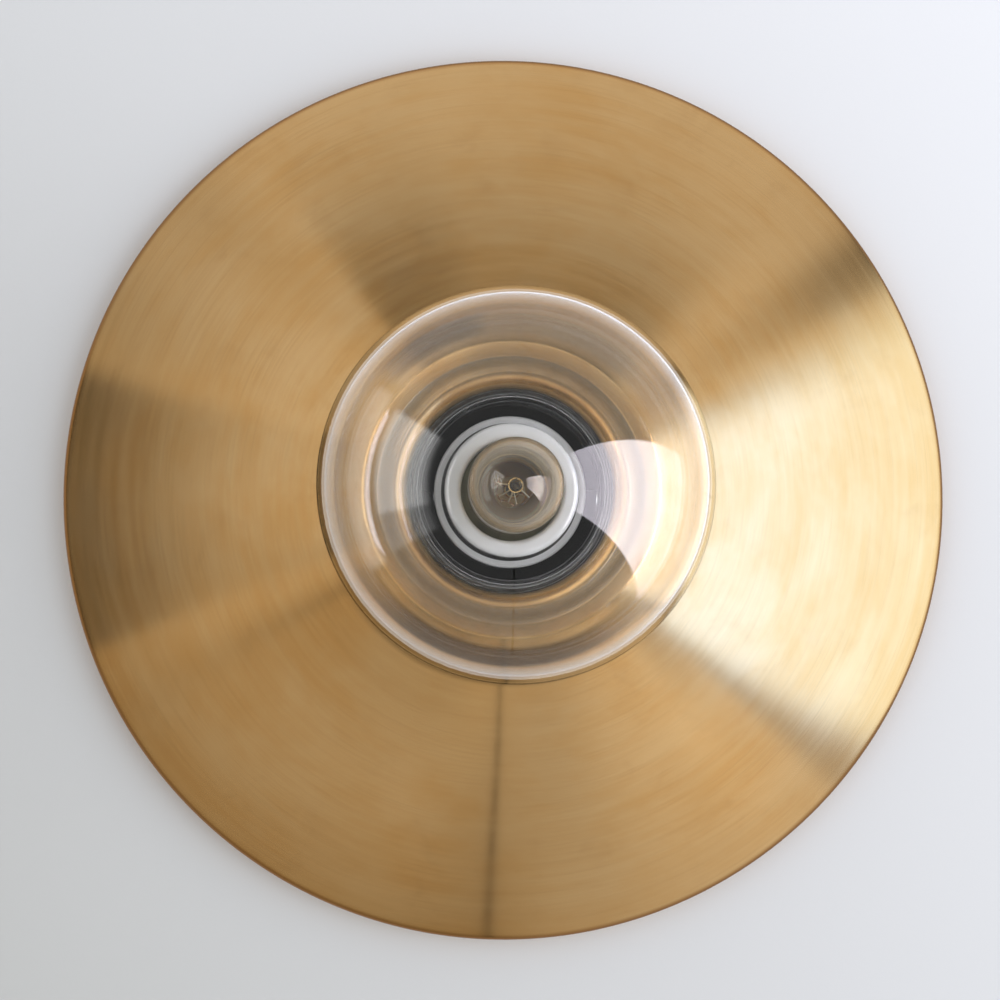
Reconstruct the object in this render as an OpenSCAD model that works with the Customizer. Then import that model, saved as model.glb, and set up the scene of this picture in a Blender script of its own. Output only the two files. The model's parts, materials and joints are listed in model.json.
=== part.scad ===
// Ceiling lamp with a round brass shade, a screwed glass jar and a black porcelain base.
// The origin is the middle of the face that lies on the ceiling, and the lamp hangs in -Z.
// Every piece is drawn with its drop from the ceiling as a plus height, and hang() turns it over.

/* [Shade] */
// Outside diameter of the shade
shade_d = 300; // [250:5:380]
// Depth of the shade, from the front of its collar to its free edge
shade_depth = 49; // [40:1:52]
// Change of slope from the middle of the cone to each of its ends, in degrees
shade_curve = 4.5; // [1:0.5:8]
// Thickness of the brass sheet
shade_t = 1; // [0.6:0.1:1.6]
// Width of the flat collar that the glass clamps
collar_w = 10.4; // [9:0.2:12]
// Bend radius where the collar turns back into the base
hole_bend_r = 4.7; // [4.5:0.1:5]
// Straight lip behind that bend
hole_lip = 1; // [0.5:0.5:1.5]
// Bend radius where the collar turns into the cone
collar_bend_r = 4; // [2:0.5:8]
// Bend radius of the turned edge
rim_r = 3; // [2:0.5:6]
// Straight lip behind the turned edge
rim_lip = 1.5; // [0.5:0.5:4]

/* [Porcelain base] */
// Diameter of the face on the ceiling
base_d = 100; // [96:1:110]
// Diameter of the front face
base_front_d = 96; // [93:1:100]
// Drop of the front face below the ceiling
base_h = 52; // [50:1:60]
// Thickness of the floor behind the lampholder
floor_t = 10; // [8:0.5:12]
// Rounding of the front edge
base_edge_r = 3; // [1:0.5:4]
// Depth of the bore that takes the glass neck
thread_depth = 18; // [16:0.5:20]
// Diameter of the well round the lampholder
well_d = 66; // [64:0.5:66]
// Depth of the ring relieved in the ceiling face
relief_h = 2; // [1:0.5:4]
// Distance between the two slots for the ceiling screws
slot_spacing = 58; // [57:0.5:58.5]
// Width of a slot
slot_w = 4.5; // [4:0.5:5]
// Length of a slot from end to end
slot_l = 7; // [6:0.5:7]
// Diameter of the hole for the cable grommet
cable_hole_d = 11; // [9:0.5:13]

/* [Glass jar] */
// Diameter over the crests of the glass thread
neck_d = 65.6; // [65:0.2:67]
// Height of a thread crest
neck_crest = 1.2; // [0.8:0.1:1.4]
// Distance from one crest to the next
neck_pitch = 6; // [5:0.5:7]
// Number of crests
neck_turns = 2; // [1:1:2]
// Length of the neck behind the shoulder
neck_l = 20.5; // [18:0.5:21]
// Thickness of the glass
glass_t = 2.6; // [2:0.1:3.2]
// Largest diameter of the jar
glass_d = 125; // [112:1:150]
// Distance from the shoulder to the largest diameter
glass_rise = 34; // [28:1:50]
// Distance from the largest diameter to the tip
glass_nose = 37; // [30:1:60]
// Radius on the outside where the neck flares into the shoulder
neck_flare_r = 6.5; // [6:0.1:7]
// Width of the flat shoulder outside the flare
shoulder_w = 6.4; // [6:0.2:8]

/* [Sealing rings] */
// Thickness of the rubber ring between base and shade
back_gasket_t = 1.5; // [1:0.5:3]
// Thickness of the clear silicone ring between shade and glass
front_gasket_t = 2; // [1:0.5:3]
// Width of both rings
gasket_w = 5.5; // [3:0.5:5.5]

/* [Lampholder] */
// Outside diameter of the white porcelain body
holder_d = 50; // [49.5:0.5:51]
// Drop of the body's front edge below the ceiling
holder_h = 43; // [40:1:46]
// Drop of the deck that carries the contacts
deck_h = 24; // [23.5:0.5:26]
// Outside diameter of the screw ring
ring_d = 43.6; // [42:0.2:44.4]
// Drop of the screw ring's front below the ceiling
ring_h = 57; // [56:0.5:62]
// Diameter of the ring's mouth
mouth_d = 33; // [32:0.5:35]
// Depth of the mouth down to the thread shell
mouth_depth = 7; // [5:0.5:9]
// Inside diameter of the brass thread shell
shell_d = 27; // [26.8:0.1:27.6]
// Thickness of the thread shell
shell_t = 0.5; // [0.3:0.1:0.8]
// Distance between the screws that hold the body on the base
holder_screw_spacing = 34; // [33:0.5:35]
// Width of the contact strips
strip_w = 7; // [5:0.5:8]
// Thickness of the contact strips
strip_t = 0.6; // [0.4:0.1:0.8]

/* [Lamp bulb] */
// Diameter over the thread of the screw cap
cap_d = 26.1; // [25.8:0.1:26.4]
// Length of the cap from its contact to its collar
cap_l = 27; // [26:0.5:29]
// Distance from one crest of the cap to the next
cap_pitch = 3.63; // [3.5:0.01:3.8]
// Diameter of the glass tube
bulb_d = 30; // [28:0.5:31]
// Length of the whole bulb
bulb_l = 76; // [74:1:84]
// Height of the rounded end of the tube
bulb_nose = 14; // [8:1:16]
// Thickness of the bulb's glass
bulb_t = 0.9; // [0.6:0.1:1.2]
// Number of upright runs of the filament
filament_runs = 6; // [2:2:8]
// Diameter of the circle that the runs stand on
filament_d = 12; // [9:0.5:14]
// Diameter of the filament
filament_wire_d = 0.5; // [0.3:0.1:0.8]

/* [Clearances] */
// Between the glass thread and what it turns in, on the radius
thread_gap = 0.75; // [0.4:0.05:1]
// Between a gasket and the bends inside it, on the radius
gasket_gap = 0.3; // [0.1:0.1:0.6]
// Between the shade's lip and the pieces on both sides of it, on the radius
lip_gap = 0.6; // [0.4:0.1:0.8]
// Between porcelain parts that fit into each other, on the radius
porcelain_gap = 0.3; // [0.2:0.1:0.5]
// Between small fitted metal, rubber and glass parts, on the radius
fit_gap = 0.1; // [0.05:0.05:0.2]
// Between the bulb's contact and the spring under it
contact_gap = 0.3; // [0.2:0.1:0.6]

/* [Hidden] */
$fn = 96;

// Colours
BLACK_GLAZE = [0.05, 0.05, 0.055];
WHITE_GLAZE = [0.93, 0.93, 0.91];
RAW_BRASS = [0.72, 0.53, 0.27];
BRIGHT_BRASS = [0.83, 0.66, 0.34];
RUBBER = [0.12, 0.12, 0.12];
SILICONE = [0.92, 0.92, 0.90, 0.4];
ZINC = [0.72, 0.73, 0.74];
NICKEL = [0.80, 0.78, 0.74];
CLEAR_GLASS = [0.80, 0.88, 0.90, 0.35];
AMBER_GLASS = [0.90, 0.72, 0.42, 0.4];
VITRITE = [0.08, 0.07, 0.09];
SOLDER = [0.66, 0.66, 0.68];
COPPER = [0.80, 0.48, 0.28];
CARBON = [0.32, 0.22, 0.16];

// Stack from the base to the glass, each a drop below the ceiling
collar_back_h = base_h + back_gasket_t;
collar_front_h = collar_back_h + shade_t;
shoulder_h = collar_front_h + front_gasket_t;
belly_h = shoulder_h + glass_rise;

// Base
base_r = base_d / 2;
base_front_r = base_front_d / 2;
thread_bore_r = neck_d / 2 + thread_gap;
shade_hole_r = neck_d / 2 + lip_gap;
lip_bore_r = shade_hole_r + shade_t + lip_gap;
lip_end_h = collar_front_h - hole_bend_r - hole_lip;
lip_end_gap = 1.3;
well_r = well_d / 2;
ledge_h = base_h - thread_depth;
slot_x = slot_spacing / 2;
pad_margin = 2.5;
pad_r = slot_x + slot_l / 2 + pad_margin;
relief_w = 8;
back_chamfer = 1;
bore_chamfer = 1;
well_fillet_r = 1;

// Grommet
cable_hole_r = cable_hole_d / 2;
grommet_wall = 1.4;
grommet_lip_w = 2;
grommet_lip_t = 1.5;
grommet_sink = 0.3;
grommet_recess_h = grommet_lip_t + grommet_sink;
grommet_bore_r = cable_hole_r - fit_gap - grommet_wall;

// Glass jar
neck_root_r = neck_d / 2 - neck_crest;
neck_end_h = shoulder_h - neck_l;
glass_r = glass_d / 2;
neck_flare_c = [neck_root_r + neck_flare_r, shoulder_h - neck_flare_r];
shoulder_flat_r = neck_flare_c[0] + shoulder_w;
neck_lip_r = glass_t / 2;
first_crest_h = 3.4;
crest_foot_w = 3.2;
crest_top_w = 1;

// Lampholder
holder_r = holder_d / 2;
holder_bore_r = ring_d / 2 + porcelain_gap;
groove_w = 0.5;
groove_r = holder_bore_r + groove_w;
groove_depth = 5;
holder_edge_r = 0.8;
ring_r = ring_d / 2;
ring_edge_r = 2;
mouth_r = mouth_d / 2;
mouth_edge_r = 1.6;
shell_r = shell_d / 2;
shell_seat_r = shell_r + shell_t + porcelain_gap;
shell_front_h = ring_h - mouth_depth;
shell_rim_gap = 0.2;
flange_w = 3.5;
flange_rise = 7.2;
flange_r = shell_r + flange_w;
flange_h = deck_h + flange_rise;
ring_back_h = flange_h + shell_t;
foot_cavity_r = 13;
foot_cavity_h = 5;
pocket_w = 12;
pocket_inner_y = 12;
pocket_roof_t = 3;
slot_gap = 0.3;

// Screws, nuts and rivets of the lampholder
screw_r = 2;
screw_hole_gap = 0.2;
screw_hole_r = screw_r + screw_hole_gap;
screw_head_r = 3.8;
screw_head_h = 2.4;
screw_point = 0.5;
drive_w = 1;
drive_depth = 1.2;
washer_r = 4;
washer_t = 0.8;
nut_across = 7;
nut_t = 3.2;
nut_inset = 0.6;
nut_gap = 0.15;
holder_screw_x = holder_screw_spacing / 2;
rivet_y = 10;
rivet_r = 1.2;
rivet_head_r = 2.2;
rivet_head_h = 1;
rivet_upset = 0.5;

// Contacts and terminals
leg_y = 17.2;
leg_end_rise = 2;
terminal_rise = 6;
leg_end_h = floor_t + leg_end_rise;
terminal_h = floor_t + terminal_rise;
terminal_screw_r = 1.6;
terminal_screw_l = 4.2;
terminal_head_r = 3.1;
terminal_head_l = 2.2;
terminal_washer_w = 7;
terminal_washer_t = 0.8;
terminal_drive_w = 0.8;
foot_reach = 3.4;
finger_inset = 1.6;
finger_bend = 4;
finger_tip = 1.8;
finger_y = shell_r + shell_t + finger_inset;

// Bulb, measured from the end of its contact
spring_h = 2;
bulb_end_h = deck_h + spring_h;
cap_crest_r = cap_d / 2;
cap_crest = 0.95;
cap_root_r = cap_crest_r - cap_crest;
cap_t = 0.4;
cap_edge_rise = 4.6;
cap_edge_h = bulb_end_h + cap_edge_rise;
cap_edge_w = 1.2;
cap_edge_bend = 0.8;
cap_thread_start = 1.6;
cap_thread_h = cap_edge_h + cap_thread_start;
cap_turns = 4;
cap_steps = 8;
cap_collar_step = 0.15;
cap_collar_gap = 1;
cap_collar_r = cap_crest_r - cap_collar_step;
cap_end_h = bulb_end_h + cap_l;
insulator_step = 1;
insulator_h = bulb_end_h + insulator_step;
insulator_small_r = 5.6;
insulator_lap = 2;
insulator_edge = 0.4;
contact_r = 4.4;
contact_flat_r = 2.8;
contact_shoulder = 0.9;
contact_sink = 1.2;
bulb_r = bulb_d / 2;
bulb_tip_h = bulb_end_h + bulb_l;
bulb_neck_r = cap_collar_r - cap_t - fit_gap;
bulb_neck_h = cap_thread_h + cap_turns * cap_pitch + cap_collar_gap;
bulb_swell = 9;
bulb_full_h = cap_end_h + bulb_swell;
bulb_dome_h = bulb_tip_h - bulb_nose;
stem_flare_r = bulb_neck_r - bulb_t;
stem_tube_r = 3;
stem_flare_l = 7;
stem_flare_t = 1.1;
stem_tube_l = 7;
stem_taper_l = 3;
stem_tube_h = bulb_neck_h + stem_flare_l;
stem_pinch_h = stem_tube_h + stem_tube_l;
stem_rod_r = 1.3;
button_r = 2.4;
button_t = 1.4;
button_taper = 1;
button_drop = 3;
button_h = bulb_dome_h - button_drop;
filament_clear = 4;
filament_low_h = stem_pinch_h + filament_clear;
filament_high_h = button_h - button_taper;
filament_r = filament_d / 2;
filament_step = 180 / max(filament_runs - 1, 1);
filament_turn = 24;
filament_wire_r = filament_wire_d / 2;
lead_r = 0.4;
lead_sink = 2.5;
lead_foot_r = 0.6 * stem_tube_r;
support_r = 0.25;
support_sink = 0.4;
wire_bite = 0.05;
hook_lift = filament_wire_r + support_r - wire_bite;

// Extra length of a cutting piece beyond the face that it cuts
OVER = 1;

// Steps along the curved stretches of the outlines
BEND_STEPS = 5;
CURVE_STEPS = 14;
FILAMENT_STEPS = 8;
FILAMENT_SIDES = 8;

// Points on a circle or an ellipse, from angle a0 to angle a1
function arc(c, rx, ry, a0, a1, n) =
    [for (i = [0:n]) let (a = a0 + (a1 - a0) * i / n) c + [rx * cos(a), ry * sin(a)]];
// A rounded corner of radius r
function corner(c, r, a0, a1) = arc(c, r, r, a0, a1, BEND_STEPS);
// Unit vector to the left of the step from a to b
function left_of(a, b) = let (d = b - a) [-d[1], d[0]] / norm(d);
// A path moved to its left by d, mitred at its corners and kept on the axis where it meets it
function shifted(path, d) =
    let (last = len(path) - 1)
    [for (i = [0:last])
        let (back = left_of(path[max(i - 1, 0)], path[max(i, 1)]))
        let (ahead = left_of(path[min(i, last - 1)], path[min(i + 1, last)]))
        let (n = back + ahead)
        let (p = path[i] + n * 2 * d / (n * n))
        abs(path[i][0]) < 0.001 ? [0, path[i][1] + d * sign(n[1])] : p];
function reversed(path) = [for (i = [len(path) - 1:-1:0]) path[i]];
// Closed outline of a wall of thickness d to the left of a path
function wall(path, d) = concat(path, reversed(shifted(path, d)));

// Turns a piece drawn with its drop as a plus height to its place under the ceiling
module hang() mirror([0, 0, 1]) children();

// A revolved outline
module turned(outline) rotate_extrude() polygon(outline);

// A flat ring between two radii and two heights
module washer(r_in, r_out, h0, h1)
    translate([0, 0, h0]) difference() {
        cylinder(r = r_out, h = h1 - h0);
        translate([0, 0, -OVER]) cylinder(r = r_in, h = h1 - h0 + 2 * OVER);
    }

// A bent strip of metal across X, from its path in Y and height
module strip(path, w)
    rotate([90, 0, 90]) linear_extrude(w, center = true) polygon(path);

// A straight round wire between two points
module wire(a, b, r) {
    d = b - a;
    turn = atan2(d[1], d[0]);
    tilt = acos(d[2] / norm(d));
    translate(a) rotate([0, tilt, turn]) cylinder(r = r, h = norm(d), $fn = 24);
}

// Black porcelain base

// A slot with round ends for a ceiling screw, along X
module screw_slot(x) {
    reach = (slot_l - slot_w) / 2;
    translate([x, 0, -OVER]) {
        for (s = [-1, 1])
            translate([s * reach, 0, 0]) cylinder(d = slot_w, h = floor_t + 2 * OVER);
        translate([-reach, -slot_w / 2, 0]) cube([2 * reach, slot_w, floor_t + 2 * OVER]);
    }
}

// A six-sided pocket for a nut in the ceiling face
module nut_pocket(x)
    translate([x, 0, -OVER])
        cylinder(d = (nut_across + 2 * nut_gap) / cos(30), h = nut_inset + nut_t + OVER, $fn = 6);

function base_outline() = concat(
    [[cable_hole_r, 0], [pad_r, 0], [pad_r, relief_h]],
    [[pad_r + relief_w, relief_h], [pad_r + relief_w, 0]],
    [[base_r - back_chamfer, 0], [base_r, back_chamfer]],
    corner([base_front_r - base_edge_r, base_h - base_edge_r], base_edge_r, 0, 90),
    [[lip_bore_r + bore_chamfer, base_h], [lip_bore_r, base_h - bore_chamfer]],
    [[lip_bore_r, lip_end_h - lip_end_gap], [thread_bore_r, lip_end_h - lip_end_gap]],
    [[thread_bore_r, ledge_h], [well_r, ledge_h]],
    corner([well_r - well_fillet_r, floor_t + well_fillet_r], well_fillet_r, 0, -90),
    [[cable_hole_r, floor_t]]
);

module base() color(BLACK_GLAZE) hang() difference() {
    turned(base_outline());
    for (s = [-1, 1]) {
        screw_slot(s * slot_x);
        nut_pocket(s * holder_screw_x);
        translate([s * holder_screw_x, 0, -OVER]) cylinder(r = screw_hole_r, h = floor_t + 2 * OVER);
    }
    translate([0, 0, -OVER])
        cylinder(r = cable_hole_r + grommet_lip_w + fit_gap, h = grommet_recess_h + OVER);
}

// Rubber grommet with a lip on each side of the floor
module cable_grommet() color(RUBBER) hang() {
    body_r = cable_hole_r - fit_gap;
    lip_r = cable_hole_r + grommet_lip_w;
    turned([
        [grommet_bore_r, grommet_recess_h - grommet_lip_t],
        [lip_r, grommet_recess_h - grommet_lip_t],
        [lip_r, grommet_recess_h],
        [body_r, grommet_recess_h],
        [body_r, floor_t],
        [lip_r, floor_t],
        [lip_r, floor_t + grommet_lip_t],
        [grommet_bore_r, floor_t + grommet_lip_t]
    ]);
}

// White porcelain lampholder

module lampholder_body() color(WHITE_GLAZE) hang() {
    outline = concat(
        [[foot_cavity_r, floor_t], [holder_r, floor_t]],
        corner([holder_r - holder_edge_r, holder_h - holder_edge_r], holder_edge_r, 0, 90),
        [[groove_r, holder_h], [groove_r, holder_h - groove_depth]],
        [[holder_bore_r, holder_h - groove_depth], [holder_bore_r, deck_h]],
        [[0, deck_h], [0, floor_t + foot_cavity_h], [foot_cavity_r, floor_t + foot_cavity_h]]
    );
    leg_slot = [strip_w + 2 * slot_gap, strip_t + 2 * slot_gap, deck_h];
    difference() {
        turned(outline);
        for (s = [-1, 1]) {
            translate([s * holder_screw_x, 0, 0]) cylinder(r = screw_hole_r, h = deck_h + OVER);
            translate([0, s * rivet_y, 0]) cylinder(r = rivet_r + fit_gap, h = deck_h + OVER);
            translate([0, s * (pocket_inner_y + holder_r / 2), floor_t - OVER])
                translate([-pocket_w / 2, -holder_r / 2, 0])
                    cube([pocket_w, holder_r, deck_h - pocket_roof_t - floor_t + OVER]);
            translate([0, s * leg_y, deck_h / 2 + floor_t]) cube(leg_slot, center = true);
        }
    }
}

// The ring that screws into the body and holds the thread shell
module lampholder_ring() color(WHITE_GLAZE) hang()
    turned(concat(
        [[shell_seat_r, ring_back_h], [ring_r, ring_back_h]],
        corner([ring_r - ring_edge_r, ring_h - ring_edge_r], ring_edge_r, 0, 90),
        corner([mouth_r + mouth_edge_r, ring_h - mouth_edge_r], mouth_edge_r, 90, 180),
        [[mouth_r, shell_front_h], [shell_seat_r, shell_front_h]]
    ));

// Brass shell with the lampholder's thread, flanged behind the ring and rolled over in its mouth
module thread_shell() color(BRIGHT_BRASS) hang()
    turned([
        [shell_r, flange_h], [flange_r, flange_h], [flange_r, ring_back_h],
        [shell_r + shell_t, ring_back_h], [shell_r + shell_t, shell_front_h],
        [mouth_r - shell_rim_gap, shell_front_h], [mouth_r - shell_rim_gap, shell_front_h + shell_t],
        [shell_r, shell_front_h + shell_t]
    ]);

// Spring strip from one terminal to the bulb's end contact
module centre_contact() color(BRIGHT_BRASS) hang() difference() {
    foot_h = deck_h + strip_t / 2;
    touch_h = bulb_end_h - contact_gap - strip_t / 2;
    path = [
        [-leg_y, leg_end_h], [-leg_y, foot_h], [foot_reach - rivet_y, foot_h],
        [-contact_flat_r, touch_h], [contact_flat_r, touch_h]
    ];
    strip(wall(shifted(path, strip_t / 2), -strip_t), strip_w);
    rivet_hole(-1);
    terminal_hole(-1);
}

// Strip from the other terminal to the thread shell
module side_contact() color(BRIGHT_BRASS) hang() difference() {
    foot_h = deck_h + strip_t / 2;
    leaf = [
        [leg_y, leg_end_h], [leg_y, flange_h - finger_bend],
        [finger_y, flange_h - finger_tip], [finger_y, flange_h]
    ];
    foot = [[leg_y, foot_h], [rivet_y - foot_reach, foot_h]];
    union() {
        strip(wall(shifted(leaf, strip_t / 2), -strip_t), strip_w);
        strip(wall(shifted(foot, strip_t / 2), -strip_t), strip_w);
    }
    rivet_hole(1);
    terminal_hole(1);
}

// Places a piece drawn along -Y at the terminal on side s, and measures from the strip's leg
module at_terminal(s)
    translate([0, s * leg_y, terminal_h]) rotate([s * 90, 0, 0]) mirror([0, 0, 1]) children();

module terminal_hole(s)
    at_terminal(s) translate([0, 0, -strip_t]) cylinder(r = terminal_screw_r + fit_gap, h = 2 * strip_t);

module rivet_hole(s)
    translate([0, s * rivet_y, deck_h - OVER]) cylinder(r = rivet_r + fit_gap, h = strip_t + 2 * OVER);

module contact_rivets() color(ZINC) hang() for (s = [-1, 1]) translate([0, s * rivet_y, 0]) {
    foot_h = floor_t + foot_cavity_h;
    translate([0, 0, foot_h - rivet_head_h]) cylinder(r = rivet_head_r, h = rivet_head_h);
    translate([0, 0, foot_h - rivet_upset])
        cylinder(r = rivet_r, h = deck_h + strip_t - foot_h + 2 * rivet_upset);
    translate([0, 0, deck_h + strip_t]) cylinder(r = rivet_head_r, h = rivet_head_h);
}

module terminal_screws() color(NICKEL) hang() for (s = [-1, 1]) at_terminal(s) {
    head_z = strip_t / 2 + terminal_washer_t;
    difference() {
        union() {
            translate([0, 0, head_z - terminal_screw_l])
                cylinder(r = terminal_screw_r, h = terminal_screw_l + screw_point);
            translate([0, 0, head_z]) cylinder(r = terminal_head_r, h = terminal_head_l);
        }
        translate([0, 0, head_z + drive_depth + terminal_head_l / 2])
            cube([2 * terminal_head_r + 2 * OVER, terminal_drive_w, terminal_head_l], center = true);
    }
}

module terminal_washers() color(NICKEL) hang() for (s = [-1, 1]) at_terminal(s)
    difference() {
        translate([0, 0, (strip_t + terminal_washer_t) / 2])
            cube([terminal_washer_w, terminal_washer_w, terminal_washer_t], center = true);
        cylinder(r = terminal_screw_r + fit_gap, h = strip_t + terminal_washer_t + OVER);
    }

// Slotted screws from the deck through the body and the floor, with their washers and nuts
module lampholder_screws() color(ZINC) hang() for (s = [-1, 1]) translate([s * holder_screw_x, 0, 0]) {
    head_h = deck_h + washer_t;
    difference() {
        union() {
            translate([0, 0, nut_inset]) cylinder(r = screw_r, h = head_h - nut_inset + screw_point);
            translate([0, 0, head_h]) cylinder(r = screw_head_r, h = screw_head_h);
        }
        translate([0, 0, head_h + drive_depth + screw_head_h / 2])
            cube([2 * screw_head_r + 2 * OVER, drive_w, screw_head_h], center = true);
    }
}

module lampholder_washers() color(ZINC) hang() for (s = [-1, 1])
    translate([s * holder_screw_x, 0, 0]) washer(screw_hole_r, washer_r, deck_h, deck_h + washer_t);

module lampholder_nuts() color(ZINC) hang() for (s = [-1, 1])
    translate([s * holder_screw_x, 0, nut_inset]) difference() {
        cylinder(d = nut_across / cos(30), h = nut_t, $fn = 6);
        translate([0, 0, -OVER]) cylinder(r = screw_r + fit_gap, h = nut_t + 2 * OVER);
    }

// Brass shade

shade_r = shade_d / 2;
collar_r = shade_hole_r + hole_bend_r + collar_w;
gasket_r = collar_r - collar_w + gasket_gap;
lip_h = collar_front_h - shade_depth + rim_lip;

// Where the cone starts and ends, for the slope that it has there
function cone_start(a) = [collar_r + collar_bend_r * sin(a), collar_front_h - collar_bend_r * (1 - cos(a))];
function cone_end(a) = [shade_r - rim_r * (1 - sin(a)), lip_h + rim_r * cos(a)];
// Slope of the straight line between those two places
function chord_slope(a0, a1) = let (d = cone_end(a1) - cone_start(a0)) atan2(-d[1], d[0]);
level_slope = chord_slope(0, 0);
mean_slope = chord_slope(level_slope - shade_curve, level_slope + shade_curve);
inner_slope = mean_slope - shade_curve;
outer_slope = mean_slope + shade_curve;
cone_r = norm(cone_end(outer_slope) - cone_start(inner_slope)) / (2 * sin(shade_curve));

// Front face of the sheet, from the lip in the base's mouth to the free edge
function shade_path() = concat(
    [[shade_hole_r, lip_end_h]],
    corner([shade_hole_r + hole_bend_r, collar_front_h - hole_bend_r], hole_bend_r, 180, 90),
    corner([collar_r, collar_front_h - collar_bend_r], collar_bend_r, 90, 90 - inner_slope),
    [for (i = [1:CURVE_STEPS - 1])
        let (a = inner_slope + 2 * shade_curve * i / CURVE_STEPS)
        cone_start(inner_slope) + cone_r * [sin(a) - sin(inner_slope), cos(a) - cos(inner_slope)]],
    corner([shade_r - rim_r, lip_h], rim_r, 90 - outer_slope, 0),
    [[shade_r, lip_h - rim_lip]]
);

module shade() color(RAW_BRASS) hang() turned(wall(shade_path(), -shade_t));

module shade_gasket() color(RUBBER) hang()
    washer(gasket_r, gasket_r + gasket_w, base_h, collar_back_h);

module glass_gasket() color(SILICONE) hang()
    washer(gasket_r, gasket_r + gasket_w, collar_front_h, shoulder_h);

// Glass jar

// The crests of the thread, drawn as rings at the true pitch
function neck_crests() = [
    for (i = [0:neck_turns - 1])
        let (h = neck_end_h + first_crest_h + neck_pitch * i)
        for (side = [-1, 1], step = [1, -1])
            let (top = side * step > 0)
            [neck_root_r + (top ? neck_crest : 0), h + side * (top ? crest_top_w : crest_foot_w) / 2]
];

// Bowl of the jar, from the flat shoulder round the largest diameter to the tip
function jar_bowl() = concat(
    arc([shoulder_flat_r, belly_h], glass_r - shoulder_flat_r, glass_rise, -90, 0, CURVE_STEPS),
    [for (i = [1:2 * CURVE_STEPS])
        let (a = 90 * i / (2 * CURVE_STEPS))
        [glass_r * cos(a), belly_h + glass_nose * sin(a)]]
);

// Outside of the jar from the neck's end to the tip
function jar_outside() = concat(
    corner([neck_root_r - neck_lip_r, neck_end_h + neck_lip_r], neck_lip_r, -90, 0),
    neck_crests(),
    corner(neck_flare_c, neck_flare_r, 180, 90),
    jar_bowl()
);

// Inside of the jar, parallel to the outside without the thread
function jar_inside() = concat(
    [[neck_root_r - glass_t, neck_end_h]],
    corner(neck_flare_c, neck_flare_r + glass_t, 180, 90),
    shifted(jar_bowl(), glass_t)
);

module glass_jar() color(CLEAR_GLASS) hang()
    turned(concat(jar_outside(), reversed(jar_inside())));

// Lamp bulb

function cap_path() = concat(
    [[cap_root_r - cap_edge_w, cap_edge_h], [cap_root_r, cap_edge_h + cap_edge_bend]],
    [for (i = [0:cap_turns * cap_steps])
        let (a = 360 * i / cap_steps)
        [cap_root_r + cap_crest * (1 - cos(a)) / 2, cap_thread_h + cap_pitch * i / cap_steps]],
    [[cap_collar_r, bulb_neck_h], [cap_collar_r, cap_end_h]]
);

module bulb_cap() color(BRIGHT_BRASS) hang() turned(wall(cap_path(), cap_t));

// Black glass disc that carries the end contact
module bulb_insulator() color(VITRITE) hang() {
    edge_r = cap_root_r - cap_edge_w - cap_t - fit_gap;
    turned([
        [contact_r + fit_gap, insulator_h], [insulator_small_r, insulator_h],
        [edge_r, cap_edge_h - insulator_edge], [edge_r, cap_edge_h + insulator_lap],
        [contact_r + fit_gap, cap_edge_h + insulator_lap]
    ]);
}

module bulb_contact() color(SOLDER) hang()
    turned(concat(
        [[0, bulb_end_h], [contact_flat_r, bulb_end_h]],
        [[contact_r, bulb_end_h + contact_shoulder], [contact_r, insulator_h + contact_sink]],
        [[0, insulator_h + contact_sink]]
    ));

// Clear tube with a round end and a drawn-in neck
function bulb_path() = concat(
    [[bulb_neck_r, bulb_neck_h], [bulb_neck_r, cap_end_h]],
    [for (i = [1:CURVE_STEPS - 1])
        let (t = i / CURVE_STEPS)
        let (swell = (1 - cos(180 * t)) / 2)
        [bulb_neck_r + (bulb_r - bulb_neck_r) * swell, cap_end_h + bulb_swell * t]],
    [[bulb_r, bulb_full_h]],
    arc([0, bulb_dome_h], bulb_r, bulb_nose, 0, 90, CURVE_STEPS)
);

module bulb_envelope() color(AMBER_GLASS) hang() turned(wall(bulb_path(), bulb_t));

// Flared glass stem with its pinch, rod and button
module bulb_stem() color(CLEAR_GLASS) hang()
    turned([
        [0, stem_tube_h], [stem_tube_r - stem_flare_t, stem_tube_h - stem_flare_t],
        [stem_flare_r - fit_gap - stem_flare_t, bulb_neck_h], [stem_flare_r - fit_gap, bulb_neck_h],
        [stem_flare_r - stem_flare_t, bulb_neck_h + stem_flare_t],
        [stem_tube_r, stem_tube_h], [stem_tube_r, stem_pinch_h - stem_taper_l],
        [stem_rod_r, stem_pinch_h], [stem_rod_r, button_h - button_taper],
        [button_r, button_h], [button_r, button_h + button_t],
        [stem_rod_r, button_h + button_t + button_taper], [0, button_h + button_t + button_taper]
    ]);

// Point on the filament's circle at run k and height h
function run_point(k, h) =
    let (a = filament_turn + filament_step * k)
    [filament_r * cos(a), filament_r * sin(a), h];
// Half the distance between two neighbouring runs
turn_r = filament_r * sin(filament_step / 2);

// Half a ring from run k to run k + 1, over the top or under the bottom
function filament_bend(k) =
    let (side = k % 2 == 0 ? 1 : -1)
    let (h = side > 0 ? filament_high_h - turn_r : filament_low_h + turn_r)
    let (a = run_point(k, h))
    let (b = run_point(k + 1, h))
    let (across = (b - a) / (2 * turn_r))
    [for (i = [0:FILAMENT_STEPS])
        let (t = 180 * i / FILAMENT_STEPS)
        (a + b) / 2 - across * turn_r * cos(t) + [0, 0, side * turn_r * sin(t)]];

// The filament's centre line from one lead to the other
function filament_path() = concat(
    [run_point(0, filament_low_h)],
    [for (k = [0:filament_runs - 2]) each filament_bend(k)],
    [run_point(filament_runs - 1, filament_low_h)]
);

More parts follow.
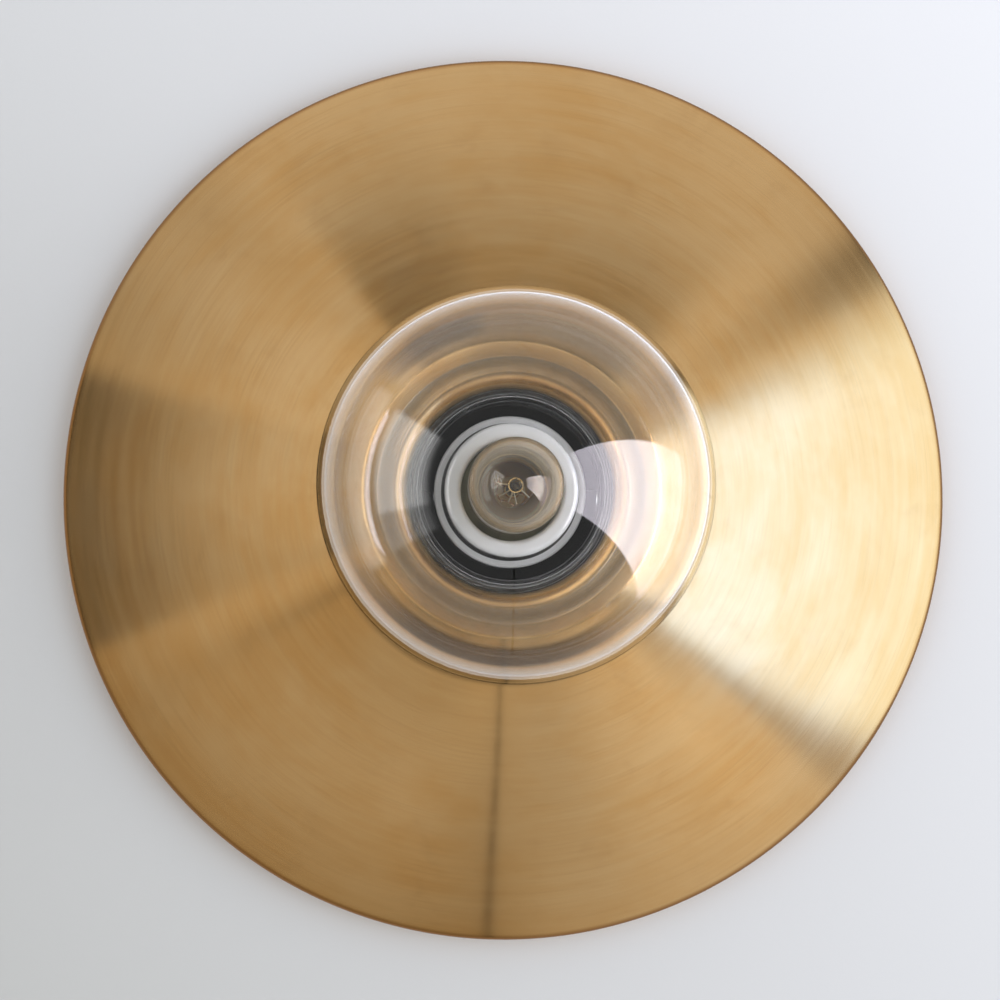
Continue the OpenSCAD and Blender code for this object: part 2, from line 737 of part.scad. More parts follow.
// A ring of points round point i of a path, turned to face along it
function tube_ring(path, i, r, sides) =
    let (d = path[min(i + 1, len(path) - 1)] - path[max(i - 1, 0)])
    let (ahead = d / norm(d))
    let (u = cross(ahead, [path[i][0], path[i][1], 0]))
    let (side = u / norm(u))
    let (up = cross(side, ahead))
    [for (j = [0:sides - 1]) path[i] + r * (cos(360 * j / sides) * side + sin(360 * j / sides) * up)];

// A wire of radius r along a path that stays clear of the axis
module tube(path, r, sides) {
    last = len(path) - 1;
    polyhedron(
        points = [for (i = [0:last]) each tube_ring(path, i, r, sides)],
        faces = concat(
            [[for (j = [sides - 1:-1:0]) j]],
            [for (i = [0:last - 1], j = [0:sides - 1])
                let (k = (j + 1) % sides)
                [i * sides + j, i * sides + k, (i + 1) * sides + k, (i + 1) * sides + j]],
            [[for (j = [0:sides - 1]) last * sides + j]]
        )
    );
}

module bulb_filament() color(CARBON) hang() tube(filament_path(), filament_wire_r, FILAMENT_SIDES);

// Copper leads from the pinch to the two ends of the filament
module bulb_lead_wires() color(COPPER) hang() for (k = [0, filament_runs - 1]) {
    end = run_point(k, filament_low_h);
    turn = filament_turn + filament_step * k;
    root = [lead_foot_r * cos(turn), lead_foot_r * sin(turn), stem_pinch_h - lead_sink];
    wire(root, end, lead_r);
}

// Thin wires from the button to the filament's upper bends, and from the rod to its lower ones
module bulb_support_wires() color(ZINC) hang() for (k = [0:filament_runs - 2]) {
    up = k % 2 == 0;
    hook_h = up ? filament_high_h : filament_low_h;
    mid = (run_point(k, hook_h) + run_point(k + 1, hook_h)) / 2;
    out = norm([mid[0], mid[1]]);
    root_r = (up ? button_r : stem_rod_r) - support_sink;
    root_h = up ? button_h + button_t / 2 : filament_low_h - hook_lift;
    root = [mid[0] * root_r / out, mid[1] * root_r / out, root_h];
    wire(root, mid + [0, 0, up ? hook_lift : -hook_lift], support_r);
}

base();
cable_grommet();
lampholder_body();
lampholder_ring();
thread_shell();
centre_contact();
side_contact();
contact_rivets();
terminal_screws();
terminal_washers();
lampholder_screws();
lampholder_washers();
lampholder_nuts();
shade();
shade_gasket();
glass_gasket();
glass_jar();
bulb_cap();
bulb_insulator();
bulb_contact();
bulb_envelope();
bulb_stem();
bulb_lead_wires();
bulb_support_wires();
bulb_filament();
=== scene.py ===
import json
import math

import bmesh
import bpy
import numpy as np
from mathutils import Matrix, Vector


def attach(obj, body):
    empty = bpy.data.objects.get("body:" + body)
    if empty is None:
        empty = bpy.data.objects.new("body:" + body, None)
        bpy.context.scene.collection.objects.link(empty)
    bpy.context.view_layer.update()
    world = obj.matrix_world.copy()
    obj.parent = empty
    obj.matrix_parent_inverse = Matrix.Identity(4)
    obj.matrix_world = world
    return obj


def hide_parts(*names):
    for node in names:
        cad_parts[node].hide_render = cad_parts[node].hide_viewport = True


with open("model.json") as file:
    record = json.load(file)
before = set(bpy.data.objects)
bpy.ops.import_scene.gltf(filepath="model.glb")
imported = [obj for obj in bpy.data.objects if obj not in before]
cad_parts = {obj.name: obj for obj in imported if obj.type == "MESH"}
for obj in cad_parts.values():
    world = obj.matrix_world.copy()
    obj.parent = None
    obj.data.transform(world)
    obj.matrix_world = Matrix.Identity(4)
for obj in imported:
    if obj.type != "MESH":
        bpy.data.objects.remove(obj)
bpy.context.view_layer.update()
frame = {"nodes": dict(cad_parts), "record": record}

MM = 0.001
TAU = 2 * math.pi

# Sizes in mm, where a height is a drop below the ceiling

# Shade: the sheet, its hole turned back, its collar, its cone's curve in degrees and its rim
SHADE_R, SHADE_FRONT, SHADE_DEPTH, SHADE_T = 150.0, 54.5, 49.0, 1.0
SHADE_HOLE, HOLE_BEND, HOLE_LIP = 33.4, 4.7, 1.0
COLLAR_R, COLLAR_BEND = 48.5, 4.0
CONE_CURVE, CONE_STEPS = 4.5, 70
RIM_R, RIM_LIP = 3.0, 1.5

# Dents in the cone: the radii between which they are, and for each its depth, its waves round the axis, its
# phase and the radius over which the phase turns by one radian
DENTS_FROM, DENTS_FULL, DENTS_LAST, DENTS_TO = 55.0, 85.0, 136.0, 146.0
DENTS = ((0.06, 2, 0.7, math.inf), (0.04, 3, 0.0, 22), (0.02, 5, 0.0, -15))

# Glass jar: its neck, the neck's thread, its shoulder and its bowl
NECK_ROOT, NECK_END, NECK_CORNER, SHOULDER = 31.6, 36.0, 6.5, 56.5
NECK_CREST, NECK_PITCH, FIRST_CREST, THREAD_START, THREAD_GAP = 1.2, 6.0, 3.4, 1.8, 0.2
GLASS_R, GLASS_RISE, GLASS_NOSE, GLASS_T, FLAT_R = 62.5, 34.0, 37.0, 2.6, 44.5

# Clear ring between the shade and the jar's shoulder
GASKET_IN, GASKET_OUT, GASKET_EDGE, GASKET_GAP = 38.4, 43.9, 0.4, 0.05

# Bulb's screw cap
CAP_ROOT, CAP_CREST, CAP_PITCH, CAP_TURNS, CAP_T = 12.1, 0.95, 3.63, 4, 0.4
CAP_EDGE, CAP_THREAD, CAP_END, CAP_COLLAR = 30.6, 32.2, 53.0, 12.9
CAP_MOUTH, CAP_LEAD, CAP_RUN, COLLAR_GAP = 1.2, 0.8, 0.6, 1.0

# Lampholder's thread shell
SHELL_R, SHELL_T, SHELL_FRONT, SHELL_WAVE = 13.5, 0.5, 50.0, 0.25
FLANGE_R, FLANGE_H, RIM_OUT = 17.0, 31.2, 16.3

# Bulb's glass
BULB_R, BULB_T, BULB_NECK_R, BULB_NECK = 15.0, 0.9, 12.4, 47.72
BULB_SHOULDER, BULB_DOME, BULB_NOSE, BULB_STEPS = 9.0, 88.0, 14.0, 32

# Foot and top of a thread's crest as shares of its pitch, and the length over which a thread runs out
GLASS_THREAD, ROLLED_THREAD, THREAD_FADE = (0.55, 0.17), (0.98, 0.02), 1.2

# Sides of each turned piece, and the longest stretch between two points of a path
SHADE_SIDES, JAR_SIDES, METAL_SIDES, BULB_SIDES = 288, 192, 96, 160
SHADE_STEP, NECK_STEP, CAP_STEP, SHELL_STEP = 2.0, 0.3, 0.25, 0.3


# Node helpers
NEAR_AXIS = 0.0005  # metres, below which a ring has no direction


class Tree:
    """A node tree that is filled a node at a time."""

    def __init__(self, tree):
        self.tree = tree
        tree.nodes.clear()

    def node(self, kind, inputs=None, **attrs):
        made = self.tree.nodes.new(kind)
        for name, value in attrs.items():
            setattr(made, name, value)
        for key, value in (inputs or {}).items():
            if isinstance(value, bpy.types.NodeSocket):
                self.tree.links.new(value, made.inputs[key])
            else:
                made.inputs[key].default_value = value
        return made

    def math(self, operation, *values):
        return self.node("ShaderNodeMath", dict(enumerate(values)), operation=operation).outputs[0]

    def times(self, a, b):
        return self.math("MULTIPLY", a, b)

    def plus(self, a, b):
        return self.math("ADD", a, b)

    def minus(self, a, b):
        return self.math("SUBTRACT", a, b)

    def larger(self, a, b):
        return self.math("MAXIMUM", a, b)

    def weighed(self, a, b, share):
        """A share of a with the rest of b."""
        return self.plus(self.times(a, share), self.times(b, 1 - share))

    def linear(self, value, low, high, to_low=0.0, to_high=1.0, curve="LINEAR"):
        ends = {"Value": value, "From Min": low, "From Max": high, "To Min": to_low, "To Max": to_high}
        return self.node("ShaderNodeMapRange", ends, interpolation_type=curve).outputs["Result"]

    def smooth(self, *args):
        """Takes what linear takes."""
        return self.linear(*args, curve="SMOOTHSTEP")

    def band(self, value, start, full, last, end):
        """A share of 1 from full to last, which is gone at start and at end."""
        return self.times(self.smooth(value, start, full), self.smooth(value, end, last))

    def noise(self, vector, scale, detail=3.0, rough=0.5, distort=0.0):
        return self.node("ShaderNodeTexNoise", {
            "Vector": vector, "Scale": scale, "Detail": detail, "Roughness": rough,
            "Distortion": distort}).outputs["Fac"]

    def mix(self, factor, a, b, blend="MIX"):
        a, b = (c if isinstance(c, bpy.types.NodeSocket) else (*c, 1.0) for c in (a, b))
        inputs = {0: factor, 6: a, 7: b}
        return self.node("ShaderNodeMix", inputs, data_type="RGBA", blend_type=blend).outputs[2]

    def blotch(self, tone, colour, mask, low, high, share):
        """The tone with a share of another colour where the mask goes from low to high."""
        return self.mix(self.times(self.smooth(mask, low, high), share), tone, colour)

    def bump(self, height, strength, distance):
        inputs = {"Height": height, "Strength": strength, "Distance": distance}
        return self.node("ShaderNodeBump", inputs).outputs["Normal"]

    def here(self):
        return self.node("ShaderNodeTexCoord").outputs["Object"]

    def place(self):
        """Object coordinates, their x, y and z, and the distance from the lamp's axis."""
        here = self.here()
        x, y, z = self.node("ShaderNodeSeparateXYZ", {0: here}).outputs
        return here, x, y, z, self.math("SQRT", self.plus(self.times(x, x), self.times(y, y)))

    def rings(self, place, along, across, upright=False, detail=4.0, rough=0.6, distort=0.0):
        """Noise in rings that are long round the axis and narrow in radius, or where upright in height."""
        here, x, y, z, out = place
        safe = self.larger(out, NEAR_AXIS)
        a = self.times(self.math("DIVIDE", x, safe), along)
        b = self.times(self.math("DIVIDE", y, safe), along)
        c = self.times(z if upright else out, across)
        vector = self.node("ShaderNodeCombineXYZ", {0: a, 1: b, 2: c}).outputs[0]
        return self.noise(vector, 1.0, detail, rough, distort)

    def principled(self, inputs):
        return self.node("ShaderNodeBsdfPrincipled", inputs).outputs[0]

    def surface(self, shader):
        self.node("ShaderNodeOutputMaterial", {"Surface": shader})


def material(name):
    made = bpy.data.materials.new(name)
    made.use_nodes = True
    return made, Tree(made.node_tree)


# Materials, whose places are in metres
SPREAD = (0.3, 0.7)  # what a noise mostly keeps to

# The painted shade on the brass under the glass, the painted shade in a groove, and the painted shade that
# dims the glaze inside it
PAINTED_SHADE_COLOUR, GROOVE_SHADE_COLOUR = (0.16, 0.085, 0.03), (0.06, 0.055, 0.05)
INNER_SHADE, OUTER_UNSHADED = (0.86, 0.86, 0.86), (1.0, 1.0, 1.0)

# Over how far each of these marks fades in
PAINTED_SHADE_SOFT, GROOVE_SHADE_SOFT, GROOVE_SHADE_FRONT_SOFT = 0.003, 0.0002, 0.0006
PAINTED_REFLECTION_SOFT, BARE_SOFT, BARE_SIDE_SOFT = 0.0002, 0.0004, 0.001
FILM_FROM, FILM_TO = 0.005, 0.014


def brass(name, base, dark, light, patina, roughness=0.17, scratch=1.0, upright=False, edge=None, painted_shade_arcs=()):
    """Brass brushed in rings, which follow the radius or on upright walls the height, with soft tarnish."""
    made, t = material(name)
    place = here, x, y, z, out = t.place()
    fine = t.rings(place, 3.0, 2600, upright, detail=2.0)
    broad = t.rings(place, 1.6, 260, upright)
    drift = t.rings(place, 2.6, 55, upright, distort=0.3)
    cloud = t.weighed(t.noise(here, 9.0, detail=5.0, rough=0.6, distort=0.6), drift, 0.45)
    spots = t.noise(here, 55.0, detail=4.0, rough=0.65, distort=0.4)
    tone = t.mix(t.smooth(cloud, 0.38, 0.64), base, patina)
    tone = t.blotch(tone, dark, spots, 0.52, 0.78, 0.16)
    tone = t.blotch(tone, light, broad, 0.35, 0.75, 0.28)
    tone = t.blotch(tone, dark, fine, 0.45, 0.8, 0.16 * scratch)
    # Painted shade: darker at the outer rim, where the shaded gap by the ceiling is reflected
    if edge:
        tone = t.mix(t.smooth(out, *edge), tone, dark)
    # Painted shade: arcs of the brass next to the glass are darkened
    if painted_shade_arcs:
        tone = t.mix(painted_shade_share(t, x, y, out, painted_shade_arcs), tone, PAINTED_SHADE_COLOUR)
    rough = t.linear(t.weighed(cloud, broad, 0.6), *SPREAD, roughness * 0.86, roughness * 1.16)
    normal = t.bump(t.weighed(fine, broad, 0.6), 0.18 * scratch, 0.00006)
    tangent = t.node("ShaderNodeTangent", direction_type="RADIAL", axis="Z").outputs[0]
    t.surface(t.principled({
        "Base Color": tone, "Metallic": 1.0, "Roughness": rough, "Anisotropic": 1.0,
        "Anisotropic Rotation": 0.25, "Normal": normal, "Tangent": tangent}))
    return made


def painted_shade_share(t, x, y, out, painted_shade_arcs):
    """The share of the painted shade at each place. Each arc of it runs between two radii about an azimuth in
    degrees.
    """
    share = 0.0
    for gain, start, end, azimuth, width in painted_shade_arcs:
        ring = t.band(out, start, start + PAINTED_SHADE_SOFT, end - PAINTED_SHADE_SOFT, end)
        a = math.radians(azimuth)
        toward = t.plus(t.times(x, math.cos(a)), t.times(y, math.sin(a)))
        gone, full = math.cos(math.radians(width)), math.cos(math.radians(width / 3))
        near = t.smooth(t.math("DIVIDE", toward, out), gone, full)
        share = t.larger(t.times(t.times(ring, near), gain), share)
    return share


def glaze(name, colour, pooled, roughness, streak, speck=None, groove_shade=None, bare=None, face=None):
    """Glossy glazed porcelain with faint turning marks under the glaze.

    speck is the colour and share of fine dots. The painted shade of a groove is given by its inner and outer
    radius and the height that it stays behind; inside the inner radius the glaze is dimmed by painted shade
    too.
    bare is the height and radius of a floor without gloss. face is a height and the amber painted reflection
    of the brass cap in front of it.
    """
    made, t = material(name)
    place = here, x, y, z, out = t.place()
    rings = t.rings(place, 1.2, 420, detail=1.0, rough=0.4)
    walls = t.rings(place, 1.2, 300, upright=True, detail=1.0, rough=0.4)
    cloud = t.noise(here, 30.0, detail=2.0, rough=0.45)
    tone = t.mix(t.smooth(cloud, 0.35, 0.7), colour, pooled)
    if speck:
        dark, share = speck
        dots = t.noise(here, 900.0, detail=2.0)
        tone = t.blotch(tone, dark, dots, 0.66, 0.74, share)
    # Painted shade: a dark line in the groove, and dimmer glaze inside its radius
    if groove_shade:
        inner, outer, front = groove_shade
        ring = t.band(out, inner - GROOVE_SHADE_SOFT, inner, outer, outer + GROOVE_SHADE_SOFT)
        ring = t.times(ring, t.smooth(z, front - GROOVE_SHADE_FRONT_SOFT, front + GROOVE_SHADE_FRONT_SOFT))
        tone = t.mix(1.0, tone, t.mix(t.smooth(out, inner, outer), INNER_SHADE, OUTER_UNSHADED), "MULTIPLY")
        tone = t.mix(ring, tone, GROOVE_SHADE_COLOUR)
    # Painted reflection: the face toward the bulb's inside is amber, standing in for the brass cap seen
    # through the glass
    if face:
        height, reflected_amber = face
        tone = t.mix(t.smooth(z, height, height - PAINTED_REFLECTION_SOFT), tone, reflected_amber)
    level, coat = 0.5, 0.6
    if bare:
        height, side = bare
        shine = t.larger(t.smooth(z, height, height - BARE_SOFT), t.smooth(out, side, side + BARE_SIDE_SOFT))
        level, coat = t.times(shine, level), t.times(shine, coat)
    wave = t.plus(t.weighed(rings, walls, 0.5), t.times(cloud, 0.5))
    t.surface(t.principled({
        "Base Color": tone, "Roughness": t.linear(cloud, *SPREAD, roughness * 0.8, roughness * 1.3),
        "IOR": 1.55, "Specular IOR Level": level, "Coat Weight": coat, "Coat Roughness": 0.04,
        "Normal": t.bump(wave, streak, 0.0004)}))
    return made


def glass(name, tint, roughness=0.0, ior=1.5, wave=0.01, scale=40.0, film=0.0):
    """Clear blown glass with a slow waviness, and a share of it as a thin matte film off the axis."""
    made, t = material(name)
    here, *_, out = t.place()
    slow = t.noise(here, scale, detail=2.0)
    fine = t.noise(here, 90.0, rough=0.6)
    pale = [min(1.0, c * 1.02) for c in tint]
    rough = t.linear(fine, *SPREAD, roughness * 0.8, roughness * 1.3) if roughness else 0.0
    clear = t.smooth(out, FILM_FROM, FILM_TO, 1.0, 1.0 - film) if film else 1.0
    t.surface(t.principled({
        "Base Color": t.mix(t.smooth(fine, *SPREAD), tint, pale), "Roughness": rough, "IOR": ior,
        "Transmission Weight": clear, "Normal": t.bump(slow, wave, 0.0004)}))
    return made


def metal(name, colour, dark, roughness, scale=300.0, bump=0.15):
    """Small plated or drawn metal pieces with fine wear."""
    made, t = material(name)
    here = t.here()
    grain = t.noise(here, scale, detail=4.0, rough=0.6)
    wear = t.noise(here, scale * 0.25, rough=0.6)
    t.surface(t.principled({
        "Base Color": t.mix(t.smooth(wear, 0.4, 0.75), colour, dark), "Metallic": 1.0,
        "Roughness": t.linear(grain, *SPREAD, roughness * 0.75, roughness * 1.3),
        "Normal": t.bump(grain, bump, 0.00008)}))
    return made


def rubber(name, colour, dust):
    """Matte moulded rubber with a little dust."""
    made, t = material(name)
    here = t.here()
    grain = t.noise(here, 1400.0, rough=0.6)
    cloud = t.noise(here, 60.0, rough=0.6)
    t.surface(t.principled({
        "Base Color": t.blotch(colour, dust, cloud, 0.4, 0.75, 0.5),
        "Roughness": t.linear(grain, *SPREAD, 0.55, 0.8), "Sheen Weight": 0.1,
        "Normal": t.bump(grain, 0.3, 0.0001)}))
    return made


# Share, inner and outer radius, azimuth and half width of each arc of painted shade on the brass under the
# glass
PAINTED_SHADE_ARCS = (
    (0.8, 0.0515, 0.0645, 95, 62),
    (0.65, 0.0515, 0.0645, 243, 24),
    (0.25, 0.0515, 0.0635, 290, 50),
)
LOOKS = {
    "raw_brass": (brass, dict(
        base=(0.81, 0.51, 0.22), dark=(0.46, 0.22, 0.07), light=(0.90, 0.62, 0.30), patina=(0.76, 0.43, 0.15),
        edge=(0.1478, 0.1496), painted_shade_arcs=PAINTED_SHADE_ARCS)),
    "black_porcelain": (glaze, dict(
        colour=(0.020, 0.018, 0.016), pooled=(0.032, 0.029, 0.025), roughness=0.08, streak=0.25,
        bare=(-0.01155, 0.040))),
    "white_porcelain": (glaze, dict(
        colour=(0.94, 0.94, 0.925), pooled=(0.91, 0.91, 0.89), roughness=0.12, streak=0.12,
        speck=((0.45, 0.40, 0.33), 0.12), groove_shade=(0.0216, 0.0226, -0.0465))),
    "bright_brass": (brass, dict(
        base=(0.83, 0.62, 0.30), dark=(0.45, 0.28, 0.12), light=(0.92, 0.74, 0.42), patina=(0.74, 0.50, 0.22),
        roughness=0.28, scratch=0.6, upright=True)),
    "cap_brass": (brass, dict(
        base=(0.86, 0.74, 0.50), dark=(0.6, 0.45, 0.26), light=(0.90, 0.80, 0.58), patina=(0.82, 0.68, 0.42),
        roughness=0.3, scratch=0.1, upright=True)),
    "nickel_brass": (metal, dict(colour=(0.78, 0.75, 0.70), dark=(0.58, 0.52, 0.44), roughness=0.25)),
    "zinc_steel": (metal, dict(colour=(0.66, 0.67, 0.68), dark=(0.48, 0.47, 0.45), roughness=0.32)),
    # Painted shade: brass darkened to olive, for the thread shell lying in shadow in the lampholder's mouth
    "tarnished_brass": (brass, dict(
        base=(0.16, 0.165, 0.12), dark=(0.07, 0.07, 0.05), light=(0.22, 0.21, 0.15),
        patina=(0.11, 0.115, 0.085), roughness=0.35, scratch=0.6, upright=True)),
    "clear_silicone": (glass, dict(tint=(0.97, 0.97, 0.95), roughness=0.06, ior=1.41, wave=0.05)),
    "black_rubber": (rubber, dict(colour=(0.018, 0.018, 0.018), dust=(0.06, 0.058, 0.055))),
    "clear_glass": (glass, dict(tint=(0.985, 0.99, 0.985))),
    "bulb_glass": (glass, dict(tint=(0.965, 0.84, 0.62), film=0.15)),
    "stem_glass": (glass, dict(tint=(0.96, 0.80, 0.50), wave=0.02, scale=200.0)),
    # The vitrite's face toward the bulb's inside carries an amber painted reflection
    "black_vitrite": (glaze, dict(
        colour=(0.012, 0.010, 0.014), pooled=(0.03, 0.026, 0.036), roughness=0.12, streak=0.2,
        face=(-0.0322, (0.60, 0.30, 0.085)))),
    "solder": (metal, dict(
        colour=(0.62, 0.62, 0.64), dark=(0.42, 0.41, 0.42), roughness=0.35, scale=500.0, bump=0.4)),
    "copper_wire": (metal, dict(colour=(0.86, 0.44, 0.24), dark=(0.55, 0.24, 0.12), roughness=0.22)),
    "support_wire": (metal, dict(colour=(0.60, 0.60, 0.60), dark=(0.40, 0.40, 0.41), roughness=0.3)),
    "filament": (metal, dict(
        colour=(0.34, 0.20, 0.12), dark=(0.16, 0.09, 0.05), roughness=0.4, scale=900.0, bump=0.4)),
}
MATERIALS = {name: maker(name, **look) for name, (maker, look) in LOOKS.items()}


# Mesh helpers, whose paths are points of (radius, drop) in mm
ON_AXIS = 0.001


def limited(value):
    return min(1.0, max(0.0, value))


def arc(c, rx, ry, a0, a1, n):
    """n stretches of an ellipse about c, from one angle to another in degrees."""
    angles = [math.radians(a0 + (a1 - a0) * i / n) for i in range(n + 1)]
    return [(c[0] + rx * math.cos(a), c[1] + ry * math.sin(a)) for a in angles]


def shifted(path, d):
    """A path moved to its left by d, mitred at its corners and kept on the axis where it meets it."""
    p = np.array(path, float)
    step = np.diff(p, axis=0)
    left = np.stack([-step[:, 1], step[:, 0]], 1) / np.linalg.norm(step, axis=1)[:, None]
    n = np.vstack([left[:1], left]) + np.vstack([left, left[-1:]])
    moved = p + n * (2 * d / (n * n).sum(1))[:, None]
    moved[np.abs(p[:, 0]) < ON_AXIS, 0] = 0
    return [tuple(q) for q in moved]


def spaced(path, step):
    """The path with points no further apart than step."""
    out = [path[0]]
    for a, b in zip(path, path[1:]):
        n = max(1, math.ceil(math.dist(a, b) / step))
        out += [(a[0] + (b[0] - a[0]) * i / n, a[1] + (b[1] - a[1]) * i / n) for i in range(1, n + 1)]
    return out


def lathe(name, path, sides, bend=None, sharp=35.0):
    """Turns a closed path round the axis. bend changes the radius and the drop of a point at an angle."""
    verts, rows = [], []
    for r, h in path:
        if r < ON_AXIS:
            verts.append((0.0, 0.0, -h * MM))
            rows.append([len(verts) - 1] * sides)
            continue
        row = []
        for j in range(sides):
            a = TAU * j / sides
            r1, h1 = bend(r, h, a) if bend else (r, h)
            verts.append((r1 * math.cos(a) * MM, r1 * math.sin(a) * MM, -h1 * MM))
            row.append(len(verts) - 1)
        rows.append(row)
    faces = []
    for a, b in zip(rows, rows[1:] + rows[:1]):
        for j in range(sides):
            k = (j + 1) % sides
            face = list(dict.fromkeys((a[j], a[k], b[k], b[j])))
            if len(face) > 2:
                faces.append(face)
    mesh = bpy.data.meshes.new(name)
    mesh.from_pydata(verts, [], faces)
    mesh.validate()
    made = bpy.data.objects.new(name, mesh)
    bpy.context.scene.collection.objects.link(made)
    flip_outward(mesh)
    for polygon in mesh.polygons:
        polygon.use_smooth = True
    mesh.set_sharp_from_angle(angle=math.radians(sharp))
    return made


def flip_outward(mesh):
    b = bmesh.new()
    b.from_mesh(mesh)
    bmesh.ops.recalc_face_normals(b, faces=b.faces)
    b.to_mesh(mesh)
    b.free()


def doubled(path, back):
    """The closed path of a wall, down one face and back up the other."""
    return path + list(reversed(back))


def crest(h, angle, start, pitch, low, high, foot, top):
    """Share of a right-hand thread's height at a drop and angle, run out softly at both its ends."""
    turn = (h - start + pitch * angle / TAU) / pitch
    along = abs(turn - round(turn))
    share = limited((foot / 2 - along) / (foot / 2 - top / 2))
    ends = limited((h - low) / THREAD_FADE) * limited((high - h) / THREAD_FADE)
    return share * share * (3 - 2 * share) * ends


def dress(obj, body, slot, *nodes):
    obj.data.materials.clear()
    obj.data.materials.append(MATERIALS[slot])
    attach(obj, body)
    if nodes:
        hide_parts(*nodes)


# Shade
def shade_path():
    """The front face of the sheet as the solid has it, with more points on it."""
    lip = SHADE_FRONT - SHADE_DEPTH + RIM_LIP

    def start(a):
        return (COLLAR_R + COLLAR_BEND * math.sin(a), SHADE_FRONT - COLLAR_BEND * (1 - math.cos(a)))

    def end(a):
        return (SHADE_R - RIM_R * (1 - math.sin(a)), lip + RIM_R * math.cos(a))

    def chord(a0, a1):
        (x0, y0), (x1, y1) = start(a0), end(a1)
        return math.atan2(y0 - y1, x1 - x0)

    curve = math.radians(CONE_CURVE)
    level = chord(0, 0)
    mean = chord(level - curve, level + curve)
    inner, outer = mean - curve, mean + curve
    big = math.dist(start(inner), end(outer)) / (2 * math.sin(curve))
    sx, sy = start(inner)
    path = [(SHADE_HOLE, SHADE_FRONT - HOLE_BEND - HOLE_LIP)]
    path += arc((SHADE_HOLE + HOLE_BEND, SHADE_FRONT - HOLE_BEND), HOLE_BEND, HOLE_BEND, 180, 90, 6)
    collar = (COLLAR_R, SHADE_FRONT - COLLAR_BEND)
    path += arc(collar, COLLAR_BEND, COLLAR_BEND, 90, 90 - math.degrees(inner), 8)
    for i in range(1, CONE_STEPS):
        a = inner + 2 * curve * i / CONE_STEPS
        path.append((sx + big * (math.sin(a) - math.sin(inner)), sy + big * (math.cos(a) - math.cos(inner))))
    path += arc((SHADE_R - RIM_R, lip), RIM_R, RIM_R, 90 - math.degrees(outer), 0, 8)
    path.append((SHADE_R, lip - RIM_LIP))
    return path


def shade_bend(r, h, a):
    """The slow unevenness of a sheet that was spun and handled."""
    rise = limited((r - DENTS_FROM) / (DENTS_FULL - DENTS_FROM))
    fall = limited((DENTS_TO - r) / (DENTS_TO - DENTS_LAST))
    dent = sum(depth * math.sin(waves * a + phase + r / turn) for depth, waves, phase, turn in DENTS)
    return r, h + rise * fall * dent


def make_shade():
    front = shade_path()
    back = shifted(front, -SHADE_T)
    wall = doubled(spaced(front, SHADE_STEP), spaced(back, SHADE_STEP))
    dress(lathe("brass_shade", wall, SHADE_SIDES, shade_bend, 50.0), "shade_set", "raw_brass", "shade")


# Glass jar
def jar_bowl():
    middle = SHOULDER + GLASS_RISE
    up = arc((FLAT_R, middle), GLASS_R - FLAT_R, GLASS_RISE, -90, 0, 28)
    down = arc((0, middle), GLASS_R, GLASS_NOSE, 0, 90, 56)
    return up + down[1:-1] + [(0.0, middle + GLASS_NOSE)]


def jar_bend(r, h, a):
    """Raises the thread out of the outside of the neck."""
    last = SHOULDER - NECK_CORNER
    if abs(r - NECK_ROOT) < 0.01 and NECK_END + 1 < h < last:
        low, high = NECK_END + THREAD_START, last - THREAD_GAP
        r += NECK_CREST * crest(h, a, NECK_END + FIRST_CREST, NECK_PITCH, low, high, *GLASS_THREAD)
    return r, h


def make_jar():
    lip = GLASS_T / 2
    flare = (NECK_ROOT + NECK_CORNER, SHOULDER - NECK_CORNER)
    wide = NECK_CORNER + GLASS_T
    outside = arc((NECK_ROOT - lip, NECK_END + lip), lip, lip, -90, 0, 8)
    outside += spaced([(NECK_ROOT, NECK_END + lip), (NECK_ROOT, flare[1])], NECK_STEP)[1:]
    outside += arc(flare, NECK_CORNER, NECK_CORNER, 180, 90, 14)[1:]
    outside += jar_bowl()
    inside = [(NECK_ROOT - GLASS_T, NECK_END)]
    inside += arc(flare, wide, wide, 180, 90, 14)
    inside += shifted(jar_bowl(), GLASS_T)
    jar = lathe("glass_jar_blown", doubled(outside[1:], inside), JAR_SIDES, jar_bend, 60.0)
    dress(jar, "jar", "clear_glass", "glass_jar")


def make_clear_ring():
    top, bottom = SHADE_FRONT + GASKET_EDGE + GASKET_GAP, SHOULDER - GASKET_EDGE - GASKET_GAP
    inner, outer = GASKET_IN + GASKET_EDGE, GASKET_OUT - GASKET_EDGE
    corners = ((outer, top), (outer, bottom), (inner, bottom), (inner, top))
    ring = []
    for i, corner in enumerate(corners):
        ring += arc(corner, GASKET_EDGE, GASKET_EDGE, 90 * (i - 1), 90 * i, 4)
    dress(lathe("clear_ring", ring, JAR_SIDES), "shade_set", "clear_silicone", "glass_gasket")


# Screw cap and thread shell
def cap_crest(h, a, low, high):
    return crest(h, a, CAP_THREAD + CAP_PITCH / 2, CAP_PITCH, low, high, *ROLLED_THREAD)


def cap_bend(r, h, a):
    low, high = CAP_THREAD - CAP_RUN, CAP_THREAD + CAP_TURNS * CAP_PITCH + CAP_RUN
    if low < h < high:
        r += CAP_CREST * cap_crest(h, a, low, high)
    return r, h


def make_cap():
    collar = CAP_THREAD + CAP_TURNS * CAP_PITCH + COLLAR_GAP
    path = [(CAP_ROOT - CAP_MOUTH, CAP_EDGE), (CAP_ROOT, CAP_EDGE + CAP_LEAD)]
    path += spaced([(CAP_ROOT, CAP_EDGE + CAP_LEAD), (CAP_ROOT, collar - CAP_LEAD)], CAP_STEP)[1:]
    path += [(CAP_COLLAR, collar), (CAP_COLLAR, CAP_END)]
    cap = lathe("screw_cap", doubled(path, shifted(path, CAP_T)), METAL_SIDES, cap_bend, 40.0)
    dress(cap, "bulb", "cap_brass", "bulb_cap")


